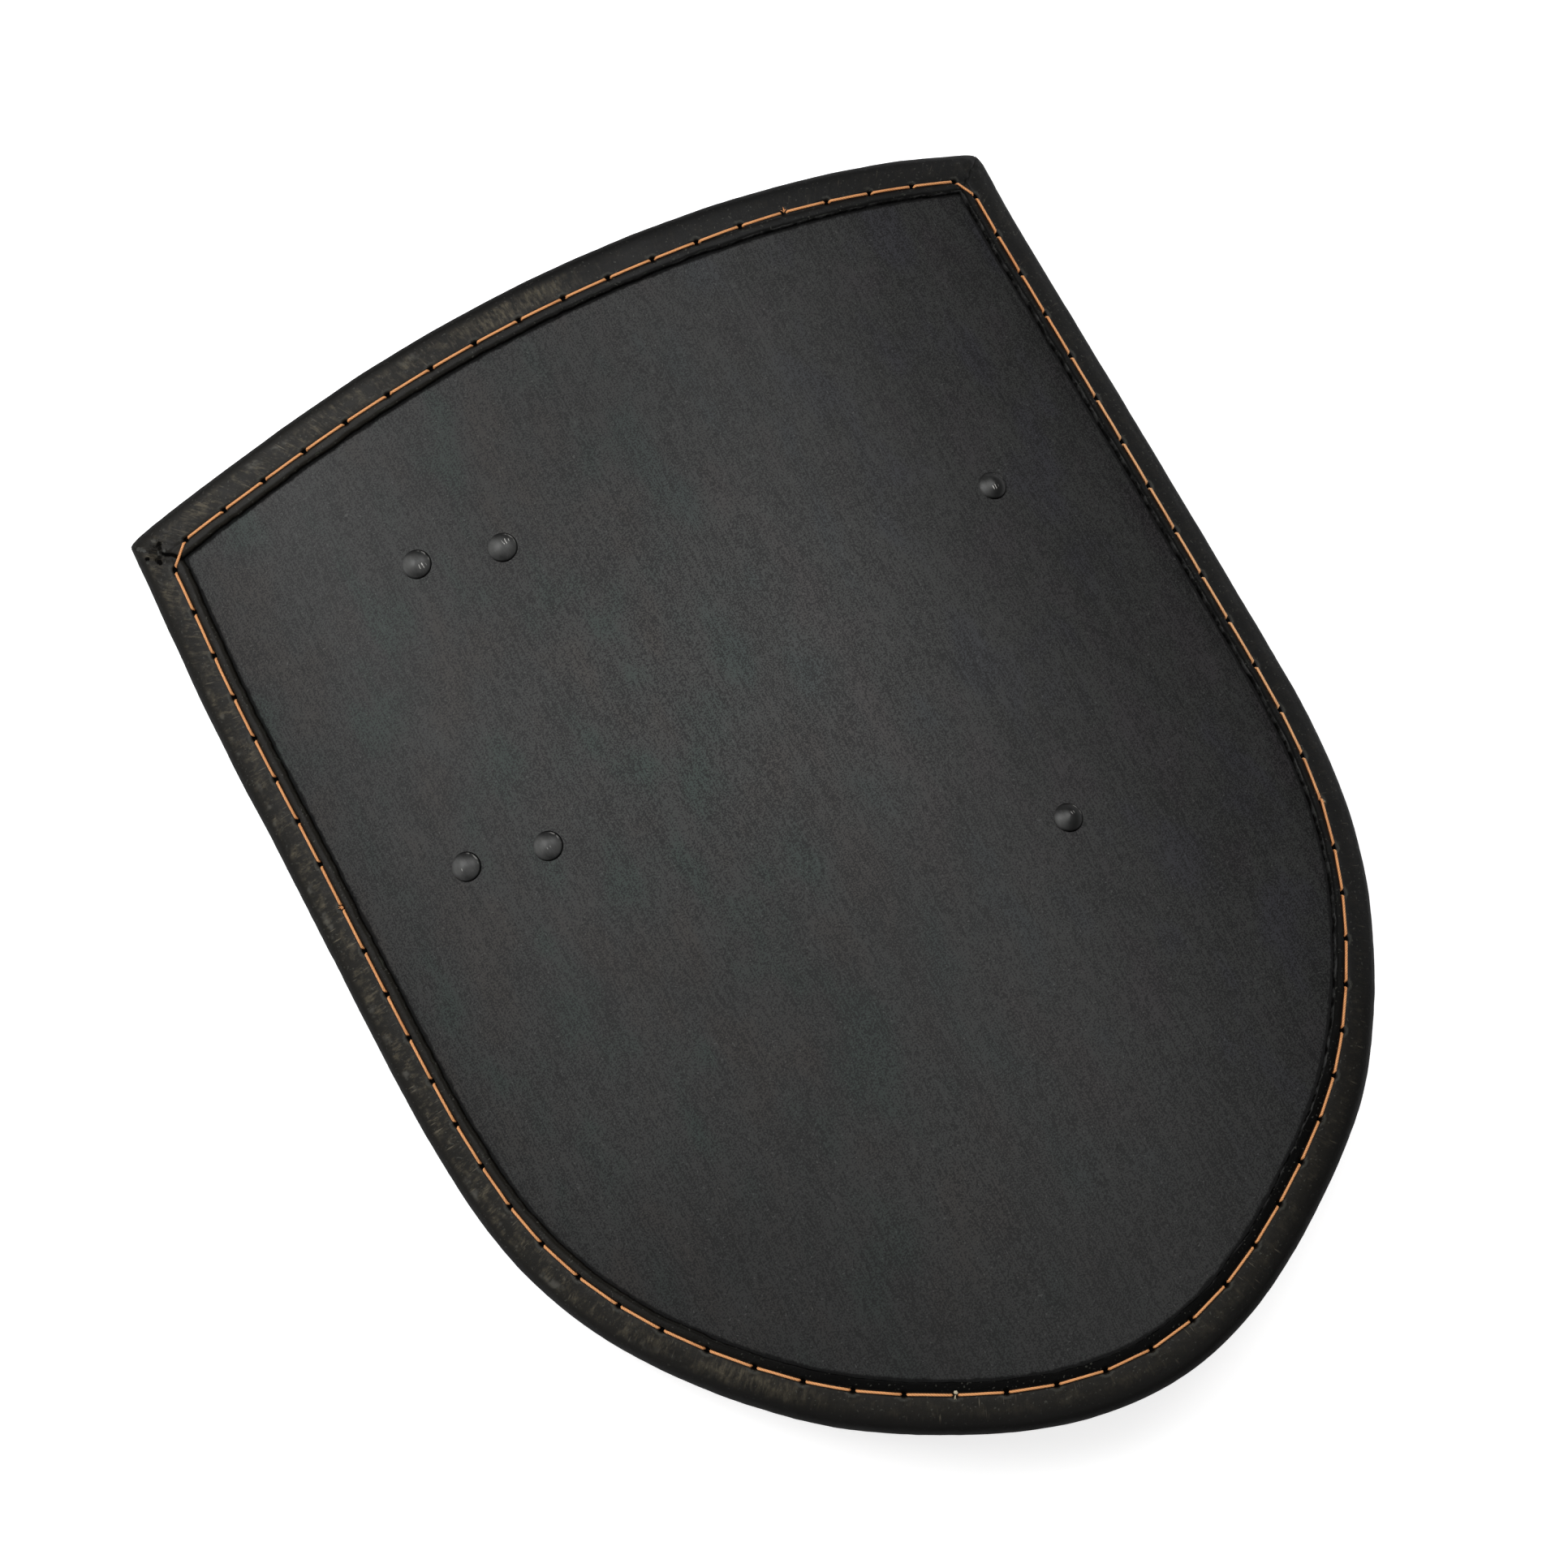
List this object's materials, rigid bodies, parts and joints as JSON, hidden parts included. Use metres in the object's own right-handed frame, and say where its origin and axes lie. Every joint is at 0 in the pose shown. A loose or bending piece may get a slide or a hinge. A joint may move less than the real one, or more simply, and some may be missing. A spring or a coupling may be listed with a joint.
{
  "type": "heater shield",
  "caption": "Heater shield: a bent board with a sewn leather rim, held on the arm by two riveted straps behind it, lying face up.",
  "frame": {"origin": "on the surface it lies on, under the middle of its length and width", "axes": "+Y along the shield's length towards its top edge, +X to the right of someone facing it, +Z out of its face"},
  "size_m": [0.5078, 0.642, 0.0682],
  "materials": {
    "painted_board": "matt black paint over fine grain, lightly scuffed along the length",
    "rim_leather": "thick black leather, half gloss, creased and scuffed",
    "waxed_thread": "orange waxed thread",
    "rivet_paint": "black paint over steel, finely scratched",
    "strap_leather": "dark brown strap leather, matt"
  },
  "bodies": {
    "root": {"board": "painted_board", "rim_top": "rim_leather", "rim_sides": "rim_leather", "thread_top_left": "waxed_thread", "thread_right": "waxed_thread", "thread_lower_right": "waxed_thread", "thread_lower_left": "waxed_thread", "rivet_upper_pair_outer": "rivet_paint", "rivet_upper_pair_inner": "rivet_paint", "rivet_upper_single": "rivet_paint", "rivet_lower_pair_outer": "rivet_paint", "rivet_lower_pair_inner": "rivet_paint", "rivet_lower_single": "rivet_paint", "strap_upper": "strap_leather", "strap_lower": "strap_leather"}
  },
  "joints": []
}
